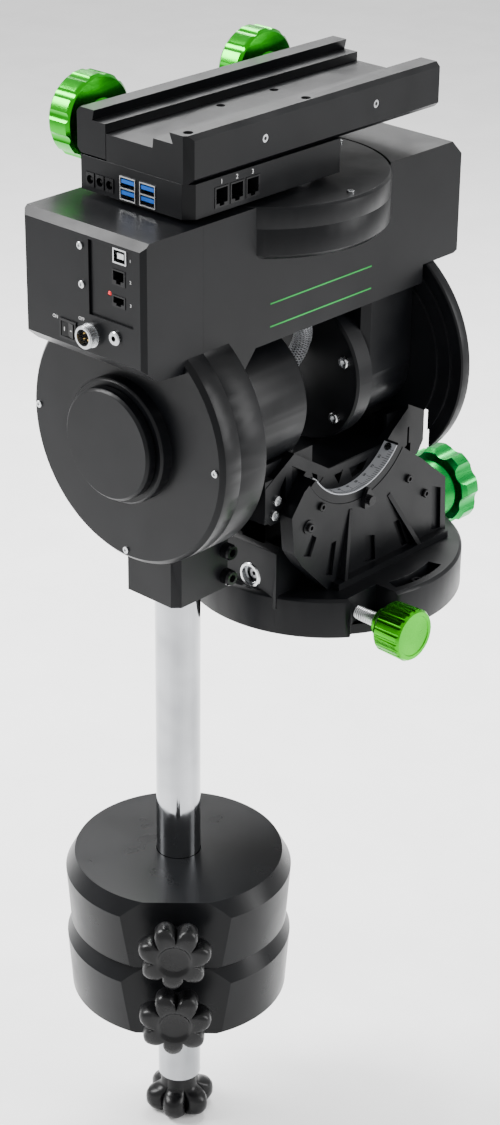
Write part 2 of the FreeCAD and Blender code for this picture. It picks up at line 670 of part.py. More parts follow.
def bearing_flange():
    outline = [(0, -2.5), (50.5, -2.5), (52, -1), (52, 12), (25, 12), (25, -1.05), (0, -1.05)]
    plate = turned("flange_plate", outline, (0, -26, "ra_height"), "Y")
    holes = [cylinder("flange_hole", 2.1, (x, -29.5, up(z)), "Y", 11.5) for x, z in FLANGE_SCREWS]
    return cut("bearing_flange", plate, *holes)


FLANGE_SCREWS = [(43 * math.cos(math.radians(a)), 43 * math.sin(math.radians(a)))
                 for a in range(20, 380, 60)]


def flange_screws():
    return group("flange_screws", [
        socket_screw("flange_screw", 4, 3.6, 2, 9, (x, -28.5, up(z)), "-Y")
        for x, z in FLANGE_SCREWS])


def cable_sleeve():
    """The braided sleeve: a straight run, one bend of 24 and a straight run into the drum."""
    radius = 6
    bend = 24
    lean = math.radians(35)
    across = FreeCAD.Vector(0.296, 0, 0.955)
    along = FreeCAD.Vector(0, 1, 0)
    root = FreeCAD.Vector(0, 0, number("ra_height"))

    def spot(y, w):
        return root + along * y + across * w

    turn_in = (-40.3, bend * (1 + math.sin(lean)))
    start = (turn_in[0] - 25 * math.sin(lean), turn_in[1] + 25 * math.cos(lean))
    centre = (turn_in[0] - bend * math.cos(lean), turn_in[1] - bend * math.sin(lean))
    middle = math.radians(-27.5)
    belly = (centre[0] + bend * math.cos(middle), centre[1] + bend * math.sin(middle))
    turn_out = (centre[0], centre[1] - bend)
    route = Part.Wire([
        Part.LineSegment(spot(*start), spot(*turn_in)).toShape(),
        Part.Arc(spot(*turn_in), spot(*belly), spot(*turn_out)).toShape(),
        Part.LineSegment(spot(*turn_out), spot(-83, 0)).toShape()])
    heading = along * math.sin(lean) - across * math.cos(lean)
    rim = Part.Wire([Part.Circle(spot(*start), heading, radius).toShape()])
    piece = doc.addObject("Part::Feature", "cable_sleeve")
    piece.Shape = route.makePipeShell([rim], True, False)
    ideal = math.pi * radius ** 2 * route.Length
    print("cable sleeve: bend", bend, "length", round(route.Length, 1),
          "volume over section x length", round(piece.Shape.Volume / ideal, 4))
    return piece


def shaft_clamp():
    plan = [(-25, -170), (-25, -126), (-20, -121), (20, -121), (25, -126), (25, -170),
            (20, -175), (-20, -175)]
    block = prism("clamp_block", "XY", plan, up(-123), up(-60))
    tools = [
        cut("ring_room", cylinder("ring_disc", "ring_radius + 0.02", (0, -180, "ra_height"), "Y", 26),
            cylinder("ring_core", 5, (0, -181, "ra_height"), "Y", 2)),
        cylinder("drum_space", "drum_radius + 14", (0, -155, "ra_height"), "Y", 40),
        cylinder("shaft_hole", "shaft_radius + 0.02", (0, "shaft_y", up(-124)), "Z", 39),
        box("clamp_slit", (0, "shaft_y", up(-124)), (1.6, -120, up(-50))),
    ]
    tools += [cylinder("bolt_hole", 2.6, (-20, -128.5, up(z)), "X", 46) for z in (-95, -114)]
    return cut("shaft_clamp", block, *tools)


def shaft_clamp_bolts():
    return group("shaft_clamp_bolts", [
        socket_screw("clamp_bolt", 5.5, 7, 2.5, 42, (25, -128.5, up(z)), "X")
        for z in (-95, -114)])


def counterweight_shaft():
    outline = [(4.1, 0), (14.5, 0), ("shaft_radius", 1), ("shaft_radius", 438.5), (0, 438.5),
               (0, 22), (4.1, 22)]
    return turned("counterweight_shaft", outline, (0, "shaft_y", up(-527)))


def dec_cap():
    outline = [("hub_bore + 0.05", 0), ("dec_radius", 0), ("dec_radius", 12.5),
               ("dec_radius - 1.5", 14), ("hub_bore + 0.05", 14)]
    plate = turned("cap_plate", outline, (0, "dec_y", up(136)))
    holes = [cylinder("cap_hole", 1.6, (x, "dec_y + (%s)" % y, up(143)), "Z", 8)
             for x, y in ((74, 0), (-74, 0), (0, 74), (0, -74))]
    return cut("dec_cap", plate, *holes)


def dec_motor():
    can = cylinder("motor_can", 18, (22, -176, up(88)), "Y", 44)
    nose = cylinder("motor_nose", 7, (22, -133, up(88)), "Y", 10)
    return fuse("dec_motor", can, nose)


def dec_worm():
    return small_worm("dec_worm", (57.4, "dec_y", up(127)), "Y", 18, 5)


# ---- counterweights -----------------------------------------------------------------

SIGHT = 42.67
OUTWARD = (math.sin(math.radians(SIGHT)), -math.cos(math.radians(SIGHT)))
FACE_OUT = FreeCAD.Rotation(FreeCAD.Vector(0, 0, 1),
                            FreeCAD.Vector(OUTWARD[0], OUTWARD[1], 0))


def counterweight(label, bottom, top, knob_z):
    height = top - bottom
    outline = [("shaft_radius + 0.4", 0), (75.5, 0), (77, 1.5),
               ("weight_radius", height - 12), (73.4, height), ("shaft_radius + 0.4", height)]
    drum = turned(label + "_drum", outline, (0, "shaft_y", up(bottom)))
    flat = doc.addObject("Part::Box", label + "_flat")
    flat.Length, flat.Width, flat.Height = 50, 30, 80
    turn = FreeCAD.Rotation(FreeCAD.Vector(0, 0, 1), SIGHT)
    middle = FreeCAD.Vector(70 * OUTWARD[0], 70 * OUTWARD[1], -10)
    shift = turn.multVec(FreeCAD.Vector(-25, -30, 0)) + middle
    place(flat, (shift.x, "shaft_y + (%s)" % shift.y, "%s - 10" % up(bottom)), "Z", turn)
    stud = cylinder(label + "_hole", 5.05, (0, "shaft_y", up(knob_z)), "Z", 90, FACE_OUT)
    return cut(label, drum, flat, stud)


def lock_knob(label, knob_z):
    outline = [(0, 17), (3.6, 17), (5, 18.4), (5, 72), (9, 72), (9, 76), (12, 84), (22, 86),
               (25.4, 89), (25.4, 97), (23, 100), (15, 101.5), (10, 99), (0, 98)]
    knob = turned(label, outline, (0, "shaft_y", up(knob_z)))
    scallop(knob, 30.5, 8.2, 7, 12)
    return place(knob, (0, "shaft_y", up(knob_z)), "Z", FACE_OUT)


def toe_stop():
    outline = [(0, 48), (3.2, 48), (4, 47), (4, 30.7), (11, 30.7), (13, 28), (14, 20),
               (22, 18), (25.6, 14), (25.6, 6), (22, 3), (12, 0), (0, 0)]
    stop = turned("toe_stop", outline, (0, "shaft_y", up(-558)))
    return scallop(stop, 31, 9, 6)


# ---- saddle: turns about the declination axis ----------------------------------------

def dec_axle():
    outline = [(0, 100.5), (20, 100.5), (20, 113), (24, 113), (24, 133), ("hub_bore", 133),
               ("hub_bore", 152.6), (0, 152.6)]
    return turned("dec_axle", outline, (0, "dec_y", "ra_height"))


def dec_worm_wheel():
    wheel = turned("dec_worm_wheel", [(24, 0), (52, 0), (52, 8), (24, 8)],
                   (0, "dec_y", up(123)))
    return scallop(wheel, 52.4, 0.9, 109)


STUD_Z = 187.5
PIN_Z = 186
KNOB_Y = (-154, 0)
PIN_Y = (-112, -30)


def saddle_plate():
    edge = [(-22.3, 175), (45.2, 175), ("saddle_half", 178), ("saddle_half", 202),
            ("saddle_half - 3", 205), (32, 205), (34.6, 198.5), (18.4, 198.5), (17.7, 192.4),
            (-22.3, 192.4)]
    rail = prism("saddle_rail", "XZ", [(x, up(z)) for x, z in edge],
                 "saddle_front", "saddle_rear")
    hub = cylinder("saddle_hub", "hub_bore", (0, "dec_y", up(152.6)), "Z", 22.9)
    tools = [cylinder("stud_hole", 3.55, (-30, y, up(STUD_Z)), "X", 42) for y in KNOB_Y]
    tools += [cylinder("pin_hole", 4.05, (-30, y, up(PIN_Z)), "X", 38) for y in PIN_Y]
    tools += [cylinder("side_hole", 2.8, ("saddle_half - 2.5", y, up(190)), "X", 6)
              for y in (-118.8, -14.4)]
    tools += [cylinder("top_hole", 3.2, (x, y, up(197)), "Z", 10)
              for x, y in ((40.2, -178.7), (41, -74.7))]
    tools += [cylinder("floor_hole", 3, (-14.5, y, up(180)), "Z", 20) for y in (-92.9, -43)]
    corner = prism("rail_corner", "XY", [("saddle_half - 5.9", "saddle_front - 1"),
                                         ("saddle_half + 1", "saddle_front - 1"),
                                         ("saddle_half + 1", "saddle_front + 5.9")],
                   up(170), up(210))
    return cut("saddle_plate", fuse("saddle_body", rail, hub), corner, *tools)


def moving_jaw():
    edge = [(-47.8, 179), (-44.8, 176), (-22.8, 176), (-22.8, 198.4), (-34.2, 198.4),
            (-32.6, 205), (-44.8, 205), (-47.8, 202)]
    rail = prism("jaw_rail", "XZ", [(x, up(z)) for x, z in edge],
                 "saddle_front", "saddle_rear")
    pins = [cylinder("jaw_pin", 4, (-25, y, up(PIN_Z)), "X", 20) for y in PIN_Y]
    holes = [cylinder("jaw_hole", 3.55, (-50, y, up(STUD_Z)), "X", 30) for y in KNOB_Y]
    return cut("moving_jaw", fuse("jaw_body", rail, *pins), *holes)


def clamp_knob(label, y):
    outline = [(0, 0), (3.5, 0), (3.5, 56.4), (11, 56.4), (11, 66), (13, 68), (26, 69.5),
               (28, 71.5), (28, 86), (26, 88.5), (16, 88.5), (15, 87), (0, 87)]
    knob = turned(label, outline, (8.3, y, up(STUD_Z)), "-X")
    return scallop(knob, 32.4, 5.6, 12, 10)


USB_X = (-10.4, 6.7)
JACK_X = (-40, -31.5, -23)
AUX_Y = (-164, -150.4, -136.4)


def electronics_box():
    plan = [(-45, "saddle_front"), ("saddle_half - 5.9", "saddle_front"),
            ("saddle_half", "saddle_front + 5.9"), ("saddle_half", -49), (-45, -49)]
    shell = prism("box_shell", "XY", plan, up(152.7), up(174.95))
    tools = [
        cylinder("hub_gap", "hub_bore + 0.1", (0, "dec_y", up(150)), "Z", 30),
        box("box_room", (-42, -183, up(155.5)), (45, -112, up(172.5))),
    ]
    tools += [box("usb_gap", (x - 0.1, -188, up(153.9)), (x + 13.5, -171, up(169.1)))
              for x in USB_X]
    tools += [box("dc_gap", (x - 0.1, -188, up(155.9)), (x + 7.1, -180, up(165.1)))
              for x in JACK_X]
    tools += [box("aux_gap", (44, y - 0.1, up(155.9)), (50, y + 12.1, up(169.1)))
              for y in AUX_Y]
    return cut("electronics_box", shell, *tools)


def usb_shells():
    stacks = []
    for x in USB_X:
        shell = box("usb_shell", (x, -187, up(154)), (x + 13.4, -172, up(169)))
        rooms = [box("usb_room", (x + 0.6, -188, up(z)), (x + 12.8, -173, up(z + 6.2)))
                 for z in (154.8, 162)]
        stacks.append(cut("usb_stack", shell, *rooms))
    return group("usb_shells", stacks)


def power_out_jacks():
    jacks = []
    for x in JACK_X:
        shell = box("dc_shell", (x, -187, up(156)), (x + 7, -173, up(165)))
        room = cylinder("dc_room", 2.8, (x + 3.5, -188, up(160.5)), "Y", 12)
        pin = cylinder("dc_pin", 1, (x + 3.5, -185.5, up(160.5)), "Y", 10)
        jacks.append(fuse("dc_jack", cut("dc_body", shell, room), pin))
    return group("power_out_jacks", jacks)


def aux_jacks():
    jacks = []
    for y in AUX_Y:
        shell = box("aux_shell", (34, y, up(156)), (48.6, y + 12, up(169)))
        room = box("aux_room", (37, y + 1, up(158.5)), (50, y + 11, up(168)))
        way = box("aux_key", (37, y + 4, up(156.8)), (50, y + 8, up(160)))
        jacks.append(cut("aux_jack", shell, room, way))
    return group("aux_jacks", jacks)


# ---- build, check and write ---------------------------------------------------------

def build():
    right = cheek_right()
    return [
        foot_plate(), azimuth_lock_screws(),
        base_casting(), right, mirrored("cheek_left", right), cheek_screws(),
        altitude_screw_bush(), scale_pointers(),
        azimuth_rod("azimuth_rod_right", "X", 1), azimuth_rod("azimuth_rod_left", "-X", -1),
        azimuth_knob("azimuth_knob_right", "X", 1), azimuth_knob("azimuth_knob_left", "-X", -1),
        altitude_worm(), altitude_knob(),
        carriage_casting(), altitude_sector(), latitude_scale(), carriage_screws(),
        ra_drum(), ra_rear_housing(), ra_motor(), ra_worm(),
        yoke_casting(), front_cover(), cover_screws(), port_plate(), usb_b_port(),
        control_jacks(), status_led(), power_inlet(), snap_port(), switch_frame(),
        power_rocker(), ra_axle(), ra_worm_wheel(), bearing_flange(), flange_screws(),
        cable_sleeve(), shaft_clamp(), shaft_clamp_bolts(), counterweight_shaft(),
        dec_cap(), dec_motor(), dec_worm(), polar_cap(),
        counterweight("counterweight_upper", -385, -331, -358),
        counterweight("counterweight_lower", -441, -385.6, -413),
        lock_knob("lock_knob_upper", -358), lock_knob("lock_knob_lower", -413), toe_stop(),
        dec_axle(), dec_worm_wheel(), saddle_plate(), electronics_box(), usb_shells(),
        power_out_jacks(), aux_jacks(),
        moving_jaw(), clamp_knob("clamp_knob_front", KNOB_Y[0]),
        clamp_knob("clamp_knob_rear", KNOB_Y[1]),
    ]


nodes = build()
doc.recompute()
problems = []
for thing in doc.Objects:
    if "Invalid" in thing.State or "Error" in thing.State:
        problems.append("%s (%s) is %s" % (thing.Name, thing.Label, thing.State))
for node in nodes:
    if node.Shape.isNull() or not node.Shape.isValid():
        problems.append("%s has no sound shape" % node.Label)
if problems:
    raise RuntimeError("; ".join(problems))
os.makedirs("parts", exist_ok=True)
for node in nodes:
    node.Shape.exportStep("parts/%s.step" % node.Label)
print("nodes written:", len(nodes), "different names:", len({node.Label for node in nodes}))
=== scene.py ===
import json
import math

import bmesh
import bpy
from mathutils import Matrix, Vector


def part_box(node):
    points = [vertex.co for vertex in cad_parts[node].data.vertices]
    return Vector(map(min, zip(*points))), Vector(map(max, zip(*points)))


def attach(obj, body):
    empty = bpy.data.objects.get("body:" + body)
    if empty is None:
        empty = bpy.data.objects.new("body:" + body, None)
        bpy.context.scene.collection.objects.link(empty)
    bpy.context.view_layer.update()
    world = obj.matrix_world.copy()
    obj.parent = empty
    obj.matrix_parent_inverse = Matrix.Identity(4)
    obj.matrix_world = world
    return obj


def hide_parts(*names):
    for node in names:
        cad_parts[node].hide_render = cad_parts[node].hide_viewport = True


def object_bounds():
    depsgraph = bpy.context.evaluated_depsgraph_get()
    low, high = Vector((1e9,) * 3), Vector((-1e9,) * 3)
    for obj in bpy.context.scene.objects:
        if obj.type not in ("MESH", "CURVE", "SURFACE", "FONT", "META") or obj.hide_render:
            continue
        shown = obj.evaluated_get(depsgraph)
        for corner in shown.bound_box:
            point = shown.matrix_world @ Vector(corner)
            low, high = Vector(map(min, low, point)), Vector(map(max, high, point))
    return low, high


# Looks of the star tracker mount: finishes, small fittings, light and camera.
# Metres, in the frame of the CAD: +Z up, ports face -Y, the striped side faces +X.

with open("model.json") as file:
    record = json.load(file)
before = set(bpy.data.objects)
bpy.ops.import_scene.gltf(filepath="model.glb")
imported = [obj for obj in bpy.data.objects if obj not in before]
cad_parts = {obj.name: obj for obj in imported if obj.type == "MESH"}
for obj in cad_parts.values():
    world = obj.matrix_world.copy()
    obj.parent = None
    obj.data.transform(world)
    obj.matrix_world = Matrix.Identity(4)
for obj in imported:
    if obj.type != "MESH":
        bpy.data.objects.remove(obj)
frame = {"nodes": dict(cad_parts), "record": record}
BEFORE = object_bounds()

POLAR_Z = 0.169                      # height of the polar axis
TILT = Vector((0.0, -0.032, 0.147))  # a point on the altitude axis
PANEL_Y = -0.2284                    # face of the port plate
COVER_Y = -0.23005                   # face of the front cover, where the switch marks are
SIDE_X = 0.053                       # face of the striped side
SHAFT_Y = -0.1483                    # centre line of the counterweight shaft

# The lock knobs stand out of the weights this way.
KNOB_AZIMUTH = math.radians(42.67)
OUTWARD = Vector((math.sin(KNOB_AZIMUTH), -math.cos(KNOB_AZIMUTH), 0))


# ---- node helpers ---------------------------------------------------------------------

class Finish:
    """A node material built up step by step around one Principled shader."""

    def __init__(self, name, color, metallic, roughness):
        self.material = bpy.data.materials.new(name)
        self.material.use_nodes = True
        self.tree = self.material.node_tree
        self.shader = self.tree.nodes["Principled BSDF"]
        self.set("Base Color", (*color, 1.0))
        self.set("Metallic", metallic)
        self.set("Roughness", roughness)
        self.place = self.add("ShaderNodeTexCoord").outputs["Object"]
        self.height = None

    def set(self, socket, value):
        self.shader.inputs[socket].default_value = value

    def add(self, kind):
        return self.tree.nodes.new(kind)

    def link(self, source, target):
        self.tree.links.new(source, target)

    def noise(self, scale, detail=2.0, stretch=(1, 1, 1)):
        mapping = self.add("ShaderNodeMapping")
        mapping.inputs["Scale"].default_value = stretch
        self.link(self.place, mapping.inputs["Vector"])
        noise = self.add("ShaderNodeTexNoise")
        noise.inputs["Scale"].default_value = scale
        noise.inputs["Detail"].default_value = detail
        self.link(mapping.outputs["Vector"], noise.inputs["Vector"])
        return noise.outputs["Fac"]

    def spread(self, source, low, high):
        """The middle of a noise, stretched over low to high."""
        remap = self.add("ShaderNodeMapRange")
        remap.inputs["From Min"].default_value = 0.3
        remap.inputs["From Max"].default_value = 0.7
        remap.inputs["To Min"].default_value = low
        remap.inputs["To Max"].default_value = high
        self.link(source, remap.inputs["Value"])
        return remap.outputs["Result"]

    def tint(self, source, first, second):
        """Base colour wandering between two tones with a noise."""
        ramp = self.add("ShaderNodeValToRGB")
        ramp.color_ramp.elements[0].position = 0.35
        ramp.color_ramp.elements[1].position = 0.65
        ramp.color_ramp.elements[0].color = (*first, 1)
        ramp.color_ramp.elements[1].color = (*second, 1)
        self.link(source, ramp.inputs["Fac"])
        self.link(ramp.outputs["Color"], self.shader.inputs["Base Color"])

    def rough(self, source, low, high):
        self.link(self.spread(source, low, high), self.shader.inputs["Roughness"])

    def bump(self, source, distance, strength):
        bump = self.add("ShaderNodeBump")
        bump.inputs["Distance"].default_value = distance
        bump.inputs["Strength"].default_value = strength
        self.link(source, bump.inputs["Height"])
        if self.height is not None:
            self.link(self.height, bump.inputs["Normal"])
        self.height = bump.outputs["Normal"]
        self.link(self.height, self.shader.inputs["Normal"])


def powder(name, dark, light, low, high, grain=900.0, depth=0.00005):
    """Fine-grained baked paint with a faint cloudiness in tone and sheen."""
    finish = Finish(name, dark, 0.0, low)
    finish.set("Specular IOR Level", 0.17)
    finish.tint(finish.noise(14, 3), dark, light)
    finish.rough(finish.noise(40, 3), low, high)
    finish.bump(finish.noise(grain, 2), depth, 0.35)
    return finish.material


def brushed(name, dark, light, low, high, stretch=(1, 1, 40), scale=160.0):
    """Bare or anodised metal with fine lines along or round the piece."""
    finish = Finish(name, light, 1.0, low)
    lines = finish.noise(scale, 3, stretch)
    finish.tint(finish.noise(30, 2), dark, light)
    finish.rough(lines, low, high)
    finish.bump(lines, 0.00002, 0.25)
    return finish.material


def moulded(name, dark, light, low, high):
    """Injection-moulded plastic with a soft sheen."""
    finish = Finish(name, dark, 0.0, low)
    finish.set("Specular IOR Level", 0.25)
    finish.tint(finish.noise(25, 2), dark, light)
    finish.rough(finish.noise(120, 3), low, high)
    finish.bump(finish.noise(1400, 2), 0.00003, 0.3)
    return finish.material


def woven(name, dark, light):
    """Braided plastic strand."""
    finish = Finish(name, dark, 0.0, 0.55)
    finish.tint(finish.noise(1500, 2), dark, light)
    finish.rough(finish.noise(700, 2), 0.4, 0.7)
    finish.bump(finish.noise(2600, 2), 0.00005, 0.5)
    return finish.material


def glowing(name, color, strength):
    """A lit lens."""
    finish = Finish(name, color, 0.0, 0.25)
    finish.set("Emission Color", (*color, 1))
    finish.tint(finish.noise(900, 2), color, tuple(min(1, c * 1.3) for c in color))
    finish.link(finish.spread(finish.noise(500, 2), 0.7 * strength, strength),
                finish.shader.inputs["Emission Strength"])
    return finish.material


CASTING_DARK, CASTING_LIGHT = (0.0016, 0.0018, 0.0024), (0.0030, 0.0033, 0.0042)
FINISHES = {
    "black_casting": powder("cast_black", CASTING_DARK, CASTING_LIGHT, 0.30, 0.42),
    "black_cover": powder("cover_black", CASTING_DARK, CASTING_LIGHT, 0.28, 0.40, 1100.0),
    "black_bolt": powder("oxide_black", (0.003, 0.003, 0.0035), (0.008, 0.008, 0.009),
                         0.14, 0.24, 500.0),
    "black_knob": moulded("knob_black", (0.002, 0.002, 0.0024), (0.005, 0.005, 0.0055), 0.24, 0.36),
    "black_plastic": moulded("socket_black", (0.002, 0.002, 0.0024), (0.005, 0.005, 0.006), 0.25, 0.4),
    "iron_weight": powder("weight_black", (0.0026, 0.0028, 0.0034), (0.005, 0.0054, 0.0064),
                          0.26, 0.38, 700.0),
    "polished_steel": brushed("shaft_chrome", (0.36, 0.37, 0.385), (0.46, 0.47, 0.49), 0.06, 0.13,
                              (1, 1, 0.02), 260.0),
    "plated_steel": brushed("plated", (0.42, 0.43, 0.44), (0.62, 0.63, 0.64), 0.16, 0.3),
    "machine_steel": brushed("ground_steel", (0.20, 0.20, 0.21), (0.34, 0.34, 0.35), 0.25, 0.4),
    "bronze_wheel": brushed("bronze", (0.5, 0.33, 0.13), (0.68, 0.48, 0.22), 0.25, 0.4),
    "scale_metal": powder("scale_silver", (0.30, 0.31, 0.33), (0.38, 0.39, 0.41), 0.35, 0.5, 1200.0),
    "motor_can": powder("motor_grey", (0.06, 0.06, 0.065), (0.1, 0.1, 0.105), 0.35, 0.5),
    "led_lens": glowing("led_red", (0.55, 0.005, 0.01), 0.9),
    "sleeve_braid": woven("sleeve_core", (0.001, 0.001, 0.0014), (0.003, 0.003, 0.004)),
    "lime_knob": brushed("anodised_lime", (0.03, 0.36, 0.003), (0.05, 0.46, 0.006), 0.2, 0.32),
    "emerald_knob": brushed("anodised_emerald", (0.0, 0.25, 0.04), (0.002, 0.33, 0.06), 0.24, 0.36),
    "green_knob": brushed("anodised_green", (0.008, 0.28, 0.006), (0.016, 0.38, 0.012), 0.16, 0.26),
}
BLUE_PLASTIC = moulded("tongue_blue", (0.005, 0.06, 0.30), (0.01, 0.10, 0.42), 0.35, 0.5)
GOLD = brushed("contact_gold", (0.4, 0.26, 0.07), (0.6, 0.42, 0.14), 0.2, 0.32)
STRIPE_GREEN = powder("stripe_green", (0.004, 0.22, 0.03), (0.008, 0.30, 0.05), 0.35, 0.45, 1500.0)
PRINT_WHITE = powder("print_white", (0.5, 0.5, 0.5), (0.62, 0.62, 0.62), 0.4, 0.5, 1500.0)
INK = powder("ink_black", (0.004, 0.004, 0.004), (0.012, 0.012, 0.012), 0.4, 0.6, 1500.0)
STRAND = woven("sleeve_strand", (0.10, 0.105, 0.115), (0.42, 0.43, 0.45))
FLOOR = powder("floor_paper", (0.90, 0.90, 0.90), (0.94, 0.94, 0.94), 0.6, 0.8, 60.0, 0.0004)


# ---- geometry helpers -------------------------------------------------------------------

def finish_piece(name, mesh, material, body, smooth=False):
    """Put a mesh in the scene as a piece that rides a body."""
    piece = bpy.data.objects.new(name, mesh)
    bpy.context.scene.collection.objects.link(piece)
    mesh.materials.append(material)
    for face in mesh.polygons:
        face.use_smooth = smooth
    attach(piece, body)
    return piece


def built(name, make, material, body, smooth=False):
    """A piece whose mesh is filled in by make(form)."""
    mesh = bpy.data.meshes.new(name)
    form = bmesh.new()
    make(form)
    form.to_mesh(mesh)
    form.free()
    return finish_piece(name, mesh, material, body, smooth)


def add_box(form, low, high):
    low, high = Vector(low), Vector(high)
    size = high - low
    middle = (low + high) / 2
    spot = Matrix.Translation(middle) @ Matrix.Diagonal((*size, 1))
    bmesh.ops.create_cube(form, size=1.0, matrix=spot)


def add_rod(form, start, end, radius, sides=12):
    start, end = Vector(start), Vector(end)
    along = end - start
    turn = along.to_track_quat("Z", "Y").to_matrix().to_4x4()
    spot = Matrix.Translation((start + end) / 2) @ turn
    bmesh.ops.create_cone(form, cap_ends=True, segments=sides, radius1=radius, radius2=radius,
                          depth=along.length, matrix=spot)


def boxes(name, spans, material, body):
    """One piece made of several boxes, each given by its two corners."""
    def make(form):
        for low, high in spans:
            add_box(form, low, high)
    return built(name, make, material, body)


def lettering(name, text, size, spot, turn, material, body):
    """Plain marks standing a little proud of a face."""
    curve = bpy.data.curves.new(name, "FONT")
    curve.body = text
    curve.size = size
    curve.extrude = MARK_HEIGHT
    curve.align_x = "CENTER"
    curve.align_y = "CENTER"
    words = bpy.data.objects.new(name, curve)
    bpy.context.scene.collection.objects.link(words)
    words.matrix_world = Matrix.Translation(spot) @ turn
    bpy.context.view_layer.update()
    mesh = bpy.data.meshes.new_from_object(words)
    mesh.transform(words.matrix_world)
    bpy.data.objects.remove(words)
    mesh.name = name
    mesh.materials.clear()
    return finish_piece(name, mesh, material, body)


MARK_HEIGHT = 0.00006
FACING_PORTS = Matrix.Rotation(math.pi / 2, 4, "X")
FACING_SIDE = Matrix.Rotation(math.pi / 2, 4, "Z") @ Matrix.Rotation(math.pi / 2, 4, "X")


# ---- CAD nodes: finishes and softened edges ---------------------------------------------

WELD_GAP = 0.00002
SHARPEST = math.radians(28)  # edges turning more than this are softened
SOFTENED = {                 # width of the softened edge on each casting
    "yoke_casting": 0.0011, "front_cover": 0.0009, "base_casting": 0.0009, "cheek_right": 0.0008,
    "cheek_left": 0.0008, "carriage_casting": 0.0007, "ra_rear_housing": 0.0005,
    "ra_drum": 0.0006, "dec_cap": 0.0005, "saddle_plate": 0.0003, "moving_jaw": 0.0004,
    "electronics_box": 0.0002, "shaft_clamp": 0.0006, "polar_cap": 0.0005,
}


def dress():
    """Give every CAD node the finish of its material slot, and soften the castings' edges."""
    slots = {part["node"]: part["material_slot"] for part in frame["record"]["subparts"]}
    for node, piece in frame["nodes"].items():
        finish = FINISHES[slots[node]]
        for held in piece.material_slots:
            held.material = finish
        if node in SOFTENED:
            weld = piece.modifiers.new("weld", "WELD")
            weld.merge_threshold = WELD_GAP
            bevel = piece.modifiers.new("bevel", "BEVEL")
            bevel.width = SOFTENED[node]
            bevel.segments = 2
            bevel.limit_method = "ANGLE"
            bevel.angle_limit = SHARPEST
            bevel.use_clamp_overlap = True
            bevel.harden_normals = True


# ---- fittings ---------------------------------------------------------------------------

USB_LEFT = (-0.0098, 0.0073)   # left edge of each USB room
USB_FLOOR = (0.3238, 0.3310)   # bottom of each row of USB rooms


def usb_tongues():
    """A blue tongue with four gold contacts in each USB socket."""
    spans, gold = [], []
    for x in USB_LEFT:
        for z in USB_FLOOR:
            spans.append(((x + 0.0006, -0.1866, z + 0.0026), (x + 0.0116, -0.1732, z + 0.0050)))
            for i in range(4):
                left = x + 0.0016 + 0.0024 * i
                gold.append(((left, -0.1862, z + 0.00245), (left + 0.0011, -0.176, z + 0.0027)))
    boxes("usb_tongues", spans, BLUE_PLASTIC, "saddle")
    boxes("usb_contacts", gold, GOLD, "saddle")


def printed_marks():
    """Plain numerals and switch marks; nothing else is lettered."""
    plate = PANEL_Y - 0.00005
    for text, z in (("1", 0.3060), ("2", 0.2925), ("3", 0.2777)):
        lettering("mark_port_" + text, text, 0.0028, (0.0405, plate, z), FACING_PORTS,
                  PRINT_WHITE, "yoke")
    for text, x, z in (("ON", -0.0245, 0.2545), ("OFF", -0.0010, 0.2590)):
        lettering("mark_" + text.lower(), text, 0.0030, (x, COVER_Y, z), FACING_PORTS,
                  PRINT_WHITE, "yoke")
    for i, y in enumerate((-0.158, -0.1444, -0.1304)):
        lettering("mark_aux_%d" % (i + 1), str(i + 1), 0.0042, (0.04825, y, 0.3408),
                  FACING_SIDE, PRINT_WHITE, "saddle")
    boxes("rocker_marks", [((-0.0159, -0.2310, 0.2475), (-0.0154, -0.2306, 0.2500)),
                           ((-0.0106, -0.2310, 0.2484), (-0.0092, -0.2306, 0.2489))],
          PRINT_WHITE, "power_rocker")


GRUB_Y = (-0.1188, -0.0144)
GRUB_Z = 0.359


def saddle_grub_screws():
    """Bright set screws sunk a little into the side of the saddle, each with a black hex disc on its
    face: painted shade for its hex hole.
    """
    def make(form):
        for y in GRUB_Y:
            add_rod(form, (0.0460, y, GRUB_Z), (0.0478, y, GRUB_Z), 0.00265, 24)
    built("saddle_grub_screws", make, FINISHES["plated_steel"], "saddle")

    # Painted shade: a thin black hex disc, standing a little proud of each screw face, stands in for
    # the shade inside its hex socket.
    def socket_shade_discs(form):
        for y in GRUB_Y:
            add_rod(form, (0.0474, y, GRUB_Z), (0.04785, y, GRUB_Z), 0.0013, 6)
    built("saddle_grub_socket_painted_shade", socket_shade_discs, INK, "saddle")


def side_stripes():
    """Two thin green lines along the striped side of the block."""
    inner, outer = SIDE_X - 0.0002, SIDE_X + 0.00012
    boxes("side_stripes", [((inner, -0.118, 0.2520), (outer, -0.020, 0.2530)),
                           ((inner, -0.118, 0.2366), (outer, -0.020, 0.2376))],
          STRIPE_GREEN, "yoke")


TICK_RADIUS = 0.05118    # from the altitude axis out to the degree lines
NUMBER_RADIUS = 0.0511
SCALE_EDGE_X = 0.0564    # the lines start here and run inwards
LONG_TICK, SHORT_TICK = 0.0062, 0.0036


def downward(angle):
    """Unit vector from the altitude axis to the scale, swung by an angle."""
    return Vector((0, math.sin(angle), -math.cos(angle)))


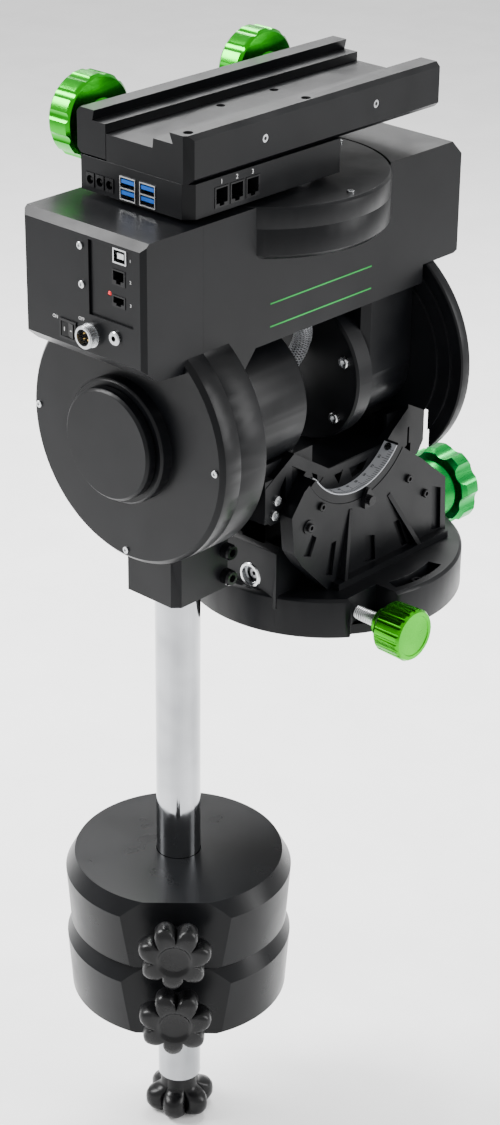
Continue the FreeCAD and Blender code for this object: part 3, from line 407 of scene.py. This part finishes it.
def scale_ticks():
    """Degree lines across the silver scale, longer at every fifth, and its numbers."""
    def make(form):
        for i in range(-24, 25):
            angle = math.radians(2 * i)
            reach = LONG_TICK if i % 5 == 0 else SHORT_TICK
            middle = TILT + downward(angle) * TICK_RADIUS
            turn = Matrix.Rotation(angle, 4, "X")
            size = (reach, 0.00028, 0.00016)
            spot = Matrix.Translation(middle + Vector((SCALE_EDGE_X - reach / 2, 0, 0))) @ turn
            bmesh.ops.create_cube(form, size=1.0, matrix=spot @ Matrix.Diagonal((*size, 1)))
    built("scale_ticks", make, INK, "carriage")
    for i in range(-4, 5):
        angle = math.radians(10 * i)
        turn = Matrix.Rotation(angle, 4, "X") @ Matrix.Rotation(math.pi / 2, 4, "Z")
        spot = TILT + downward(angle) * NUMBER_RADIUS + Vector((0.0482, 0, 0))
        lettering("scale_number_%d" % (i + 4), str(10 * (i + 4)), 0.0028, spot, turn, INK, "carriage")


def scale_end_screws():
    """A bright screw at each end of the scale."""
    side = Vector((0.051, 0, 0))

    def make(form):
        for degrees in (-49.5, 49.5):
            out = downward(math.radians(degrees))
            add_rod(form, TILT + out * 0.0513 + side, TILT + out * 0.0500 + side, 0.0028, 24)
    built("scale_screws", make, FINISHES["plated_steel"], "carriage")


# Knob outlines as (radius, height) in mm, going round from the middle of one end to the other.
LOCK_KNOB = [
    (3.6, 17), (5, 18.4), (5, 72), (9, 72), (9, 77), (12, 82.5), (20, 84), (23.6, 85.5),
    (25.2, 88), (25.4, 91), (25.4, 95), (24.8, 98), (22.6, 100.2), (18, 101.2),
    (13, 101.4), (11.4, 100.6), (10.4, 99.2), (9, 98.8), (4, 98.6),
]
TOE_STOP = [
    (4, 0.4), (12, 0), (20, 1.2), (23.6, 3.2), (25.3, 6.4), (25.6, 10), (25.2, 13.6),
    (23.4, 16.6), (19, 18.6), (15.5, 20), (14, 22), (13, 28), (11.5, 30.7), (4, 31),
]
STEPS_PER_LOBE = 20
HOLLOW = 0.22        # how much of the rim beyond the hub is left between two lobes
LOBE_FULLNESS = 0.33


def lobed(name, outline, lobes, hub, spot, turn, node):
    """A star hand knob: an outline turned about its axis, with finger hollows outside the hub."""
    around = lobes * STEPS_PER_LOBE

    def make(form):
        rings = []
        for radius, height in outline:
            ring = []
            for i in range(around):
                angle = 2 * math.pi * i / around
                wave = (0.5 + 0.5 * math.cos(lobes * angle)) ** LOBE_FULLNESS
                swell = HOLLOW + (1 - HOLLOW) * wave
                reach = radius if radius <= hub else hub + (radius - hub) * swell
                local = Vector((reach * math.cos(angle), reach * math.sin(angle), height)) / 1000
                ring.append(form.verts.new(spot + turn @ local))
            rings.append(ring)
        for low, high in zip(rings, rings[1:]):
            for i in range(around):
                k = (i + 1) % around
                form.faces.new((low[i], low[k], high[k], high[i]))
        form.faces.new(reversed(rings[0]))
        form.faces.new(rings[-1])
    piece = built(name, make, FINISHES["black_knob"], node, True)
    piece.data.set_sharp_from_angle(angle=math.radians(42))
    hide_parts(node)


def star_knobs():
    """The two lock knobs and the toe stop."""
    face_out = Vector((0, 0, 1)).rotation_difference(OUTWARD).to_matrix()
    for node in ("lock_knob_upper", "lock_knob_lower"):
        low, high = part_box(node)
        spot = Vector((0, SHAFT_Y, (low[2] + high[2]) / 2))
        lobed(node + "_star", LOCK_KNOB, 7, 13, spot, face_out, node)
    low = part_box("toe_stop")[0]
    lobed("toe_stop_star", TOE_STOP, 6, 12.5, Vector((0, SHAFT_Y, low[2])), Matrix.Identity(3),
          "toe_stop")


WEIGHT_SIDES = 160
WEIGHT_BORE = 0.0159
FLAT_REACH = 0.070   # from the shaft's centre out to the flat


def weight_disc(form, foot, tall):
    """A bored disc, waisted at its foot and chamfered on top, with one side cut flat."""
    outline = [(WEIGHT_BORE, 0), (0.0755, 0), (0.077, 0.0015), (0.0798, tall - 0.012),
               (0.0734, tall), (WEIGHT_BORE, tall)]
    rings = []
    for radius, height in outline:
        ring = []
        for i in range(WEIGHT_SIDES):
            angle = 2 * math.pi * i / WEIGHT_SIDES
            spot = Vector((radius * math.cos(angle), radius * math.sin(angle), height))
            ring.append(form.verts.new(foot + spot))
        rings.append(ring)
    for a, b in zip(rings, rings[1:] + rings[:1]):
        for i in range(WEIGHT_SIDES):
            k = (i + 1) % WEIGHT_SIDES
            form.faces.new((a[i], a[k], b[k], b[i]))
    cut = bmesh.ops.bisect_plane(
        form, geom=form.verts[:] + form.edges[:] + form.faces[:], clear_outer=True,
        plane_co=foot + OUTWARD * FLAT_REACH, plane_no=OUTWARD)
    rim = [edge for edge in cut["geom_cut"] if isinstance(edge, bmesh.types.BMEdge)]
    bmesh.ops.contextual_create(form, geom=rim)
    bmesh.ops.recalc_face_normals(form, faces=form.faces[:])


def weights():
    """Each counterweight, with a broad flat where its lock knob goes in."""
    for node in ("counterweight_upper", "counterweight_lower"):
        low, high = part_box(node)
        foot, tall = Vector((0, SHAFT_Y, low[2])), high[2] - low[2]

        def make(form):
            weight_disc(form, foot, tall)
        piece = built(node + "_disc", make, FINISHES["iron_weight"], node, True)
        piece.data.set_sharp_from_angle(angle=math.radians(20))
        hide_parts(node)


SLEEVE_ACROSS = Vector((0.296, 0, 0.955))  # the sleeve lies in the plane of this and +Y
STRAND_STEP = 0.0009      # metres between points along a strand
STRAND_TWIST = 300        # radians per metre
STRANDS_EACH_WAY = 9
STRAND_RADIUS = 0.00036
BRAID_RADIUS = 0.00606


def sleeve_route():
    """Centre line of the braided sleeve: straight, one bend, straight."""
    bend, lean = 0.024, math.radians(35)
    turn_in = (-0.0403, bend * (1 + math.sin(lean)))
    start = (turn_in[0] - 0.025 * math.sin(lean), turn_in[1] + 0.025 * math.cos(lean))
    centre = (turn_in[0] - bend * math.cos(lean), turn_in[1] - bend * math.sin(lean))
    flat = [start]
    for i in range(41):
        angle = lean - i / 40 * (lean + math.pi / 2)
        flat.append((centre[0] + bend * math.cos(angle), centre[1] + bend * math.sin(angle)))
    flat.append((-0.0795, 0.0))
    return [Vector((0, 0, POLAR_Z)) + Vector((0, 1, 0)) * y + SLEEVE_ACROSS * w for y, w in flat]


def resampled(points, step):
    """Points at even steps along a line."""
    out = [points[0]]
    left = step
    for a, b in zip(points, points[1:]):
        length = (b - a).length
        done = 0.0
        while length - done >= left:
            done += left
            out.append(a.lerp(b, done / length))
            left = step
        left -= length - done
    return out


def braid():
    """Crossing strands wound both ways round the sleeve."""
    spine = resampled(sleeve_route(), STRAND_STEP)
    side = Vector((0, 1, 0)).cross(SLEEVE_ACROSS).normalized()
    curve = bpy.data.curves.new("sleeve_strands", "CURVE")
    curve.dimensions = "3D"
    curve.bevel_depth = STRAND_RADIUS
    curve.bevel_resolution = 1
    for way in (1, -1):
        for k in range(STRANDS_EACH_WAY):
            spline = curve.splines.new("POLY")
            spline.points.add(len(spine) - 1)
            for i, spot in enumerate(spine):
                ahead = spine[min(i + 1, len(spine) - 1)] - spine[max(i - 1, 0)]
                up = side.cross(ahead).normalized()
                start = 2 * math.pi * k / STRANDS_EACH_WAY
                angle = way * i * STRAND_STEP * STRAND_TWIST + start
                wave = BRAID_RADIUS + 0.0002 * math.cos(angle * 4.5 * way)
                point = spot + (side * math.cos(angle) + up * math.sin(angle)) * wave
                spline.points[i].co = (*point, 1)
    holder = bpy.data.objects.new("strands_curve", curve)
    bpy.context.scene.collection.objects.link(holder)
    bpy.context.view_layer.update()
    mesh = bpy.data.meshes.new_from_object(holder)
    bpy.data.objects.remove(holder)
    mesh.materials.clear()
    finish_piece("sleeve_strands", mesh, STRAND, "yoke", True)


def inlet_parts():
    """Four gold pins and the core inside the power inlet."""
    x, z = 0.007, POLAR_Z + 0.0816
    pin_reach = 0.0026

    def pins(form):
        for i in range(4):
            angle = math.pi / 4 + i * math.pi / 2
            spot = (x + pin_reach * math.cos(angle), z + pin_reach * math.sin(angle))
            add_rod(form, (spot[0], -0.2301, spot[1]), (spot[0], -0.2345, spot[1]), 0.0005)
    built("inlet_pins", pins, GOLD, "yoke", True)

    def core(form):
        add_rod(form, (x, -0.2300, z), (x, -0.2312, z), 0.0053, 32)
    built("inlet_core", core, FINISHES["black_plastic"], "yoke")


def details():
    usb_tongues()
    printed_marks()
    saddle_grub_screws()
    side_stripes()
    scale_ticks()
    scale_end_screws()
    star_knobs()
    weights()
    braid()
    inlet_parts()


# ---- floor, light and camera ------------------------------------------------------------

def floor():
    """A pale floor just below the lowest piece."""
    mesh = bpy.data.meshes.new("floor")
    half = 40.0
    level = BEFORE[0][2] - 0.0005
    mesh.from_pydata([(-half, -half, level), (half, -half, level), (half, half, level),
                      (-half, half, level)], [], [(0, 1, 2, 3)])
    ground = bpy.data.objects.new("floor", mesh)
    mesh.materials.append(FLOOR)
    bpy.context.scene.collection.objects.link(ground)


def softbox(name, spot, aim, width, height, power):
    lamp = bpy.data.lights.new(name, "AREA")
    lamp.shape = "RECTANGLE"
    lamp.size = width
    lamp.size_y = height
    lamp.energy = power
    holder = bpy.data.objects.new(name, lamp)
    holder.location = spot
    holder.rotation_euler = (Vector(aim) - Vector(spot)).to_track_quat("-Z", "Y").to_euler()
    bpy.context.scene.collection.objects.link(holder)


def light():
    """Even white surroundings and three soft lamps."""
    world = bpy.data.worlds.new("studio")
    world.use_nodes = True
    background = world.node_tree.nodes["Background"]
    background.inputs["Color"].default_value = (1, 1, 1, 1)
    background.inputs["Strength"].default_value = 1.05
    bpy.context.scene.world = world
    middle = (0, -0.06, 0.1)
    softbox("key_left", (-1.3, -1.1, 1.6), middle, 0.8, 1.4, 100)
    softbox("top", (-0.6, 0.9, 1.5), middle, 1.2, 0.9, 80)
    softbox("right_rim", (1.6, 0.9, 0.7), middle, 0.6, 1.4, 30)


CAMERA_LENS_MM, CAMERA_SENSOR_MM = 79.88, 36
CAMERA_PLACE = Matrix(((0.7320, -0.3121, 0.6057, 1.0449),
                       (0.6813, 0.3229, -0.6570, -1.2103),
                       (0.0095, 0.8935, 0.4489, 0.8118),
                       (0, 0, 0, 1)))


def camera():
    """The photograph's view."""
    lens = bpy.data.cameras.new("view")
    lens.sensor_fit = "VERTICAL"
    lens.sensor_height = CAMERA_SENSOR_MM
    lens.lens = CAMERA_LENS_MM
    lens.clip_start = 0.05
    lens.clip_end = 30
    eye = bpy.data.objects.new("view", lens)
    eye.matrix_world = CAMERA_PLACE
    bpy.context.scene.collection.objects.link(eye)
    bpy.context.scene.camera = eye


dress()
details()
floor()
light()
camera()
